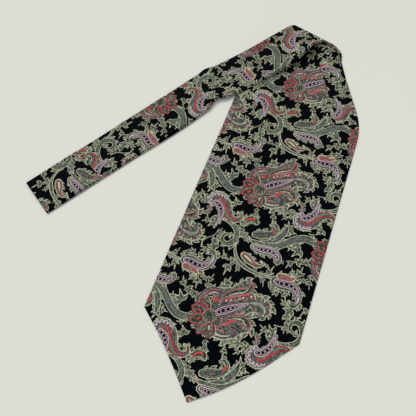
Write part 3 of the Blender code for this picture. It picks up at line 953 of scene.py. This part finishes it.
def inked(net, triangles, shapes):
    """The topmost ink at each triangle."""
    middles = net[triangles].mean(1)
    inks = np.zeros(len(triangles), int)
    order = np.argsort(middles.imag)
    heights = middles.imag[order]
    for ink, shape in shapes:
        first, last = np.searchsorted(heights, (shape.imag.min(), shape.imag.max()))
        near = order[first:last]
        across = middles.real[near]
        near = near[(across >= shape.real.min()) & (across <= shape.real.max())]
        if len(near):
            inks[near[inside(shape, middles[near])]] = ink
    return inks


def ink_borders(triangles, inks):
    """The sides between triangles of different inks."""
    sides = np.concatenate([triangles[:, [0, 1]], triangles[:, [1, 2]], triangles[:, [2, 0]]])
    sides = np.sort(sides, 1)
    owners = np.tile(inks, 3)
    order = np.lexsort((sides[:, 1], sides[:, 0]))
    sides, owners = sides[order], owners[order]
    paired = (sides[1:] == sides[:-1]).all(1)
    return sides[1:][paired & (owners[1:] != owners[:-1])]


def printed_net(outline, shapes, lines, loose):
    """Triangles of a flat piece of cloth, cut along the print. Returns points, triangles and
    the ink of each triangle. lines are further curves that the triangles follow, and loose
    are further points."""
    points, edges = list(loose), []

    def add(curve, closed):
        start = len(points)
        points.extend(curve)
        count = len(curve)
        sides = count if closed else count - 1
        edges.extend((start + i, start + (i + 1) % count) for i in range(sides))

    add(outline, True)
    for line in lines:
        add(line, False)
    kept_edges = len(edges)
    for _, shape in shapes:
        add(shape, True)
    net, triangles, stem = cut_net(points, edges, kept_edges)
    triangles = within(outline, net, triangles)
    inks = inked(net, triangles, shapes)
    if shapes:
        # once more with what shows alone, without the outlines that lie under other shapes
        tree = BVHTree.FromPolygons([(z.real, z.imag, 0) for z in net], triangles.tolist())
        shown = np.concatenate([stem, ink_borders(triangles, inks)])
        used, places = np.unique(shown, return_inverse=True)
        points = list(net[used]) + list(loose)
        first_inks = inks
        net, triangles, _ = cut_net(points, places.reshape(-1, 2).tolist(), 0)
        triangles = within(outline, net, triangles)
        middles = net[triangles].mean(1)
        hits = [tree.ray_cast((z.real, z.imag, 1), (0, 0, -1))[2] for z in middles]
        inks = np.array([0 if hit is None else first_inks[hit] for hit in hits])
    used = np.unique(triangles)
    return net[used], np.searchsorted(used, triangles), inks


# Nets laid out as closed shells

BLADE_GRID = (8.0, 14.0)  # between the loose points of the face and of the back
BAND_GRID = (4.0, 6.0)
EDGE_STAND = 0.4  # how far the middle of a rounded edge stands out
LAYER_STEPS = (0.0, 1.8, 0.9)  # how far each layer at the band's right edge stands out
NOTCH = 0.9
PLAIN_RIM = tuple((math.sin(math.pi * k / 5), k / 5) for k in range(1, 5))


def layered_rim():
    """(step out, share of the thickness) of the rings at an edge where three layers show."""
    rings = []
    for k, step in enumerate(LAYER_STEPS):
        rings += [(step, (k + 0.2) / 3), (step + EDGE_STAND, (k + 0.5) / 3), (step, (k + 0.8) / 3)]
        if k < 2:
            rings.append((-NOTCH, (k + 1) / 3))
    return tuple(rings)


LAYERED_RIM = layered_rim()


def rim_of(triangles):
    """A net's rim, anticlockwise: its points, and the triangle behind the side after each."""
    sides = np.concatenate([triangles[:, [0, 1]], triangles[:, [1, 2]], triangles[:, [2, 0]]])
    sides = sides.astype(np.int64)
    count = triangles.max() + 1
    free = ~np.isin(sides[:, 0] * count + sides[:, 1], sides[:, 1] * count + sides[:, 0])
    owner = np.tile(np.arange(len(triangles)), 3)[free]
    after = {a: (b, t) for a, b, t in zip(*sides[free].T.tolist(), owner.tolist())}
    start = next(iter(after))
    loop, owners = [start], []
    while True:
        following, triangle = after[loop[-1]]
        owners.append(triangle)
        if following == start:
            return np.array(loop), np.array(owners)
        loop.append(following)


def closed_shell(name, material, face, back, surface, rim, up):
    """A thin closed piece of cloth. face and back are nets with one rim between them.
    surface(x, y, deep) lays them out, deep being 0 on the face and 1 on the back.
    rim(z) gives (way out, rings) at a rim point. up is False where the face looks down
    before any folding."""
    net, triangles, inks = face
    back_net, back_triangles, back_inks = back
    loop, owners = rim_of(triangles)
    known = KDTree(len(back_net))
    for i, z in enumerate(back_net):
        known.insert((z.real, z.imag, 0), i)
    known.balance()
    back_loop = np.array([known.find((z.real, z.imag, 0))[1] for z in net[loop]])
    points = [surface(net.real, net.imag, np.zeros(len(net)))]
    points.append(surface(back_net.real, back_net.imag, np.ones(len(back_net))))
    flat = [net, back_net]
    start = len(net) + len(back_net)
    ways = [rim(z) for z in net[loop]]
    ring_count = len(ways[0][1])
    for k in range(ring_count):
        ring = np.array([z + way * rings[k][0] for z, (way, rings) in zip(net[loop], ways)])
        deep = np.array([rings[k][1] for _, rings in ways])
        points.append(surface(ring.real, ring.imag, deep))
        flat.append(ring)
    rings = [loop, *(start + len(loop) * k + np.arange(len(loop)) for k in range(ring_count))]
    rings.append(len(net) + back_loop)
    faces = list(triangles) + list(back_triangles[:, ::-1] + len(net))
    face_inks = [inks, back_inks]
    for near, far in zip(rings, rings[1:]):
        faces += list(np.stack([np.roll(near, -1), near, far, np.roll(far, -1)], -1))
        face_inks.append(inks[owners])
    if not up:
        faces = [f[::-1] for f in faces]
    points = (np.concatenate(points) + ROW_OFFSET) / 1000
    face_inks = np.concatenate(face_inks)
    mesh = bpy.data.meshes.new(name)
    mesh.from_pydata(points.tolist(), [], [f.tolist() for f in faces])
    if mesh.validate():
        raise RuntimeError(name + " has faces that cannot be kept")
    mesh.shade_smooth()
    colour = mesh.color_attributes.new("print", "FLOAT_COLOR", "CORNER")
    corner_inks = np.repeat(face_inks, [len(f) for f in faces])
    colour.data.foreach_set("color", INK_COLOURS[corner_inks].ravel())
    flecks = mesh.attributes.new("flecks", "FLOAT", "CORNER")
    flecks.data.foreach_set("value", FLECKS[corner_inks])
    corners = np.zeros(len(mesh.loops), int)
    mesh.loops.foreach_get("vertex_index", corners)
    flat = np.concatenate(flat)[corners] / 1000
    cloth = mesh.uv_layers.new(name="flat_cloth")
    cloth.data.foreach_set("uv", np.stack([flat.real, flat.imag], -1).ravel())
    mesh.materials.append(material)
    piece = into_scene(name, mesh)
    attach(piece, "root")
    return piece


def grid_points(low, high, step):
    """Points spread over a box, in rows that stand between one another."""
    points = []
    for row, y in enumerate(np.arange(low.imag, high.imag, step)):
        shift = step / 2 * (row % 2)
        points += [complex(x + shift, y) for x in np.arange(low.real, high.real, step)]
    return np.array(points)


# The blade

HALVINGS = 30


def right_u(y):
    return PLEAT.at(y)["crease_u"] + PLEAT_MARGIN


def blade_end(x):
    """The flat y at which the blade's cloth stops short of the fold."""
    low, high = np.full_like(x, 400.0), np.full_like(x, 600.0)
    for _ in range(HALVINGS):
        middle = (low + high) / 2
        laid = blade_surface(x, middle, 0.0)
        before = past_fold(laid[:, 0] + 1j * laid[:, 1]) < BLADE_STOP
        low, high = np.where(before, middle, low), np.where(before, high, middle)
    return (low + high) / 2


def edge_end(edge_x):
    """The flat y at which the blade's cloth ends along one of its side edges."""
    y = 480.0
    for _ in range(HALVINGS):
        y = blade_end(np.array([float(edge_x(y))]))[0]
    return y


def blade_outline():
    left_half, right_half = np.linspace(LEFT_CORNER[0], 0, 28), np.linspace(0, RIGHT_CORNER[0], 30)
    point = np.concatenate([left_half[:-1], right_half])
    bottom = point + 1j * tip_height(point)
    top_left, top_right = edge_end(left_x), edge_end(right_u)
    up = np.linspace(RIGHT_CORNER[1], top_right, 150)[1:]
    right = right_u(up) + 1j * up
    across = np.linspace(right_u(top_right), left_x(top_left), 60)[1:]
    top = across + 1j * blade_end(across)
    down = np.linspace(top_left, LEFT_CORNER[1], 130)[1:-1]
    left = left_x(down) + 1j * down
    return np.concatenate([bottom, right, top, left])


def waved(points):
    """Raises laid points by the cloth's own low waves at their place."""
    points[:, 2] += ripple(points[:, 0], points[:, 1])
    return points


def make_blade(material):
    outline = blade_outline()
    v = np.arange(330.0, 560.0, 4.0)
    fold_lines = [clipped(u + 1j * v, outline) for u in PLEAT.lines(v)]
    shapes = laid_shapes(lambda z: z, complex(-95, -2), complex(150, 600))
    spread = (complex(-92, 3), complex(120, 560))
    face = printed_net(outline, shapes, fold_lines, grid_points(*spread, BLADE_GRID[0]))
    rim = face[0][rim_of(face[1])[0]]
    back = printed_net(rim, [], fold_lines, grid_points(*spread, BLADE_GRID[1]))

    def surface(x, y, deep):
        return waved(blade_surface(x, y, (0.5 - deep) * SILK))

    around = np.roll(rim, -1) - np.roll(rim, 1)
    ways = dict(zip(rim.tolist(), (-1j * around / np.abs(around)).tolist()))

    def rim_way(z):
        return ways[complex(z)] * EDGE_STAND, PLAIN_RIM

    piece = closed_shell("blade_cloth", material, face, back, surface, rim_way, True)
    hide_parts("blade")
    return piece


def clipped(line, outline):
    """The part of a line that lies well inside the outline."""
    return line[inside(outline, line)][1:-1]


# The neckband and its end piece


def outline_left(y):
    """The band's left edge: drawn in where the crest of the fold is rounded off, and out where
    a small ridge stands at the buckle."""
    crest = CREST_ROUND * np.exp(-(((y - CREST_AT) / CREST_LENGTH) ** 2))
    return BAND_LEFT(y) + crest - RIDGE_OUT * np.exp(-(((y - RIDGE_AT) / RIDGE_LENGTH) ** 2))


def band_ring(y_at):
    """The ends of a line across the band, given as y_at(x)."""
    ends = []
    for edge in (outline_left, BAND_RIGHT):
        y = 510.0
        for _ in range(20):
            x = float(edge(y))
            y = y_at(x)
        ends.append(complex(x, y))
    return ends


def fold_line_y(offset):
    reach = FOLD_POINT + offset * FOLD_ACROSS
    return lambda x: reach.imag + (x - reach.real) * math.tan(FOLD_ANGLE)


def band_outline(first, last_y, widen):
    """first is (left, right) where the piece starts."""
    left, right = first
    across = np.linspace(0, 1, 40)
    bottom = left + (right - left) * across
    up = np.arange(right.imag, last_y, 2.5)[1:]
    right_side = BAND_RIGHT(up) + 1j * up
    end = np.linspace(float(BAND_RIGHT(last_y)), float(BAND_LEFT(last_y)) - widen, 22)
    top = end + 1j * last_y
    down = np.arange(last_y, left.imag, -2.5)[1:]
    left_side = outline_left(down) - widen + 1j * down
    return np.concatenate([bottom, right_side, top, left_side])


def band_rim(widen):
    """Three layers show at the right edge, the left edge is round and the ends are straight."""
    rounded = tuple((EDGE_STAND * math.sin(math.pi * deep), deep) for _, deep in LAYERED_RIM)

    def way(z):
        left, right = float(outline_left(z.imag)) - widen, float(BAND_RIGHT(z.imag))
        share = (z.real - left) / (right - left)
        if share > 0.999:
            return 1.0, LAYERED_RIM
        return (-1.0, rounded) if share < 0.001 else (0.0, LAYERED_RIM)

    return way


def band_piece(name, material, outline, shapes, back_shapes, lines, widen):
    low = complex(outline.real.min(), outline.imag.min())
    high = complex(outline.real.max(), outline.imag.max())
    face = printed_net(outline, shapes, lines, grid_points(low, high, BAND_GRID[0]))
    rim = face[0][rim_of(face[1])[0]]
    back = printed_net(rim, back_shapes, lines, grid_points(low, high, BAND_GRID[1]))

    def surface(x, y, deep):
        return waved(band_surface(x, y, deep))

    return closed_shell(name, material, face, back, surface, band_rim(widen), False)


def make_neckband(material):
    first = band_ring(fold_line_y(BLADE_STOP + SEAM_GAP))
    outline = band_outline(first, CROSS_SEAM - SEAM_GAP, 0.0)
    lines = []
    for offset in np.linspace(0, math.pi * FOLD_RADIUS, 13):
        left, right = band_ring(fold_line_y(offset))
        lines.append(left + (right - left) * np.linspace(0.02, 0.98, 14))
    shapes = laid_shapes(
        lambda z: STRAP_PRINT - np.conj(z), complex(-75, 480), complex(35, 885)
    )
    back_shapes = laid_shapes(lambda z: z, complex(-75, 480), complex(35, 530))
    piece = band_piece(
        "neckband_cloth", material, outline, shapes, back_shapes, lines, 0.0
    )
    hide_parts("neckband")
    return piece


def make_strap_end(material):
    left, right = BAND_LEFT(CROSS_SEAM) - END_PIECE_STEP, BAND_RIGHT(CROSS_SEAM)
    first = (complex(left, CROSS_SEAM), complex(right, CROSS_SEAM))
    outline = band_outline(first, SQUARE_END, END_PIECE_STEP)
    shapes = laid_shapes(lambda z: END_PRINT + np.conj(z), complex(-75, 870), complex(-10, 960))
    piece = band_piece(
        "strap_end_cloth", material, outline, shapes, [], [], END_PIECE_STEP
    )
    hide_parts("strap_end")
    return piece


# Materials

# Points and waves of the material for each metre of cloth
EYES = 400.0
TWILL = 480.0
MOTTLE = 900.0
RELIEF = 0.0003  # in metres
SILK_LOOK = (0.72, 0.03)  # roughness and specular level
TABLE_LOOK = (0.7, 0.2)
TABLE_COLOUR = (0.71, 0.715, 0.665, 1)
SKY_COLOUR = (1.0, 1.0, 0.99, 1)
SKY_STRENGTH = 0.42
CEILING = {"size": 1.2, "energy": 4.3, "color": (1.0, 0.99, 0.97)}
WINDOW = {"energy": 2.05, "angle": math.radians(32)}


class Socket:
    """A shader value that can be reckoned with like a number."""

    def __init__(self, tree, source):
        self.tree, self.source = tree, source

    def math(self, operation, other):
        return node(self.tree, "ShaderNodeMath", {"operation": operation}, {0: self, 1: other})

    def __add__(self, other):
        return self.math("ADD", other)

    def __sub__(self, other):
        return self.math("SUBTRACT", other)

    def __mul__(self, other):
        return self.math("MULTIPLY", other)


def node(tree, kind, settings, inputs, output=0):
    """Makes a shader node and returns one of its outputs."""
    made = tree.nodes.new(kind)
    for key, value in settings.items():
        setattr(made, key, value)
    for key, value in inputs.items():
        if isinstance(value, Socket):
            tree.links.new(value.source, made.inputs[key])
        else:
            made.inputs[key].default_value = value
    return Socket(tree, made.outputs[output])


def smooth_step(value, start, end):
    """0 where value is at start, 1 where it is at end, and smooth between."""
    limits = {"From Min": start, "From Max": end, "To Min": 0.0, "To Max": 1.0}
    if start > end:
        limits = {"From Min": end, "From Max": start, "To Min": 1.0, "To Max": 0.0}
    limits["Value"] = value
    kind = {"interpolation_type": "SMOOTHSTEP"}
    return node(value.tree, "ShaderNodeMapRange", kind, limits, "Result")


def new_material(name, roughness, specular):
    """A material, and its shader with the given constants."""
    material = bpy.data.materials.new(name)
    material.use_nodes = True
    shader = material.node_tree.nodes["Principled BSDF"]
    shader.inputs["Roughness"].default_value = roughness
    shader.inputs["Specular IOR Level"].default_value = specular
    return material, shader


def printed_silk(name):
    """Printed silk twill: the print's inks with their small flecks, a diagonal weave that
    follows the cloth, and a low sheen."""
    material, shader = new_material(name, *SILK_LOOK)
    tree = material.node_tree
    cloth = node(tree, "ShaderNodeUVMap", {"uv_map": "flat_cloth"}, {}, "UV")
    inks = node(tree, "ShaderNodeAttribute", {"attribute_name": "print"}, {}, "Color")
    flecked = node(tree, "ShaderNodeAttribute", {"attribute_name": "flecks"}, {}, "Fac")
    # small eyes with a dark ring, about 2 mm apart
    size = {"Vector": cloth, "Scale": EYES}
    cells = node(tree, "ShaderNodeTexVoronoi", {"feature": "F1"}, size, "Distance")
    eye = smooth_step(cells, 0.42, 0.18)
    ring = smooth_step(cells, 0.40, 0.60)
    kind = {"wave_type": "BANDS", "bands_direction": "DIAGONAL"}
    size = {"Vector": cloth, "Scale": TWILL, "Distortion": 0.6, "Detail": 1.0}
    twill = node(tree, "ShaderNodeTexWave", kind, size, "Fac")
    size = {"Vector": cloth, "Scale": MOTTLE, "Detail": 2.0, "Roughness": 0.6}
    mottle = node(tree, "ShaderNodeTexNoise", {}, size, "Fac")
    tone = (twill * 0.12 + mottle * 0.36 + 0.76) * (flecked * (eye * 0.7 - ring * 0.5) + 1.0)
    scaled = {0: inks, "Scale": tone}
    colour = node(tree, "ShaderNodeVectorMath", {"operation": "SCALE"}, scaled, "Vector")
    tree.links.new(colour.source, shader.inputs["Base Color"])
    relief = {"Height": twill * 0.6 + mottle * 0.8, "Strength": 0.25, "Distance": RELIEF}
    bump = node(tree, "ShaderNodeBump", {}, relief, "Normal")
    tree.links.new(bump.source, shader.inputs["Normal"])
    return material


# Table, camera and light


def into_scene(name, data, turn=None, place=(0, 0, 0)):
    """Puts an object with the given data into the scene."""
    thing = bpy.data.objects.new(name, data)
    if turn is not None:
        thing.matrix_world = Matrix.Translation(place) @ turn.to_4x4()
    bpy.context.scene.collection.objects.link(thing)
    return thing


def make_table():
    bm = bmesh.new()
    bmesh.ops.create_grid(bm, x_segments=1, y_segments=1, size=4.0)
    mesh = bpy.data.meshes.new("table_top")
    bm.to_mesh(mesh)
    bm.free()
    paint, shader = new_material("pale_table", *TABLE_LOOK)
    shader.inputs["Base Color"].default_value = TABLE_COLOUR
    mesh.materials.append(paint)
    top = into_scene("table_top", mesh)


def make_camera():
    forward = Vector(CAMERA_FORWARD).normalized()
    right = forward.cross(Vector((0, 0, 1))).normalized()
    up = right.cross(forward)
    c, s = math.cos(CAMERA_ROLL), math.sin(CAMERA_ROLL)
    right, up = c * right - s * up, s * right + c * up
    turn = Matrix((right, up, -forward)).transposed()
    data = bpy.data.cameras.new("camera")
    data.sensor_width = SENSOR
    data.lens = FOCAL_PIXELS * SENSOR / FRAME_PIXELS
    place = (Vector(CAMERA_FROM_TIP) + Vector(ROW_OFFSET)) / 1000
    bpy.context.scene.camera = into_scene("camera", data, turn, place)


def make_light(name, kind, place, way, **settings):
    """A light that shines along way."""
    data = bpy.data.lights.new(name, kind)
    for key, value in settings.items():
        setattr(data, key, value)
    into_scene(name, data, Vector(way).to_track_quat("-Z", "Y").to_matrix(), place)


def make_lights():
    world = bpy.data.worlds.new("room")
    world.use_nodes = True
    sky = world.node_tree.nodes["Background"]
    sky.inputs["Color"].default_value = SKY_COLOUR
    sky.inputs["Strength"].default_value = SKY_STRENGTH
    bpy.context.scene.world = world
    make_light("ceiling", "AREA", (0.15, -0.3, 1.6), (-0.1, 0.2, -1.6), **CEILING)
    make_light("window", "SUN", (0, 0, 0), (0.52, -0.5, -0.69), **WINDOW)
    bpy.context.scene.view_settings.view_transform = "Standard"


def main():
    silk = {name: printed_silk(name + "_silk") for name in ("blade", "neckband", "strap_end")}
    blade = make_blade(silk["blade"])
    neckband = make_neckband(silk["neckband"])
    strap_end = make_strap_end(silk["strap_end"])
    make_table()
    make_camera()
    make_lights()


main()
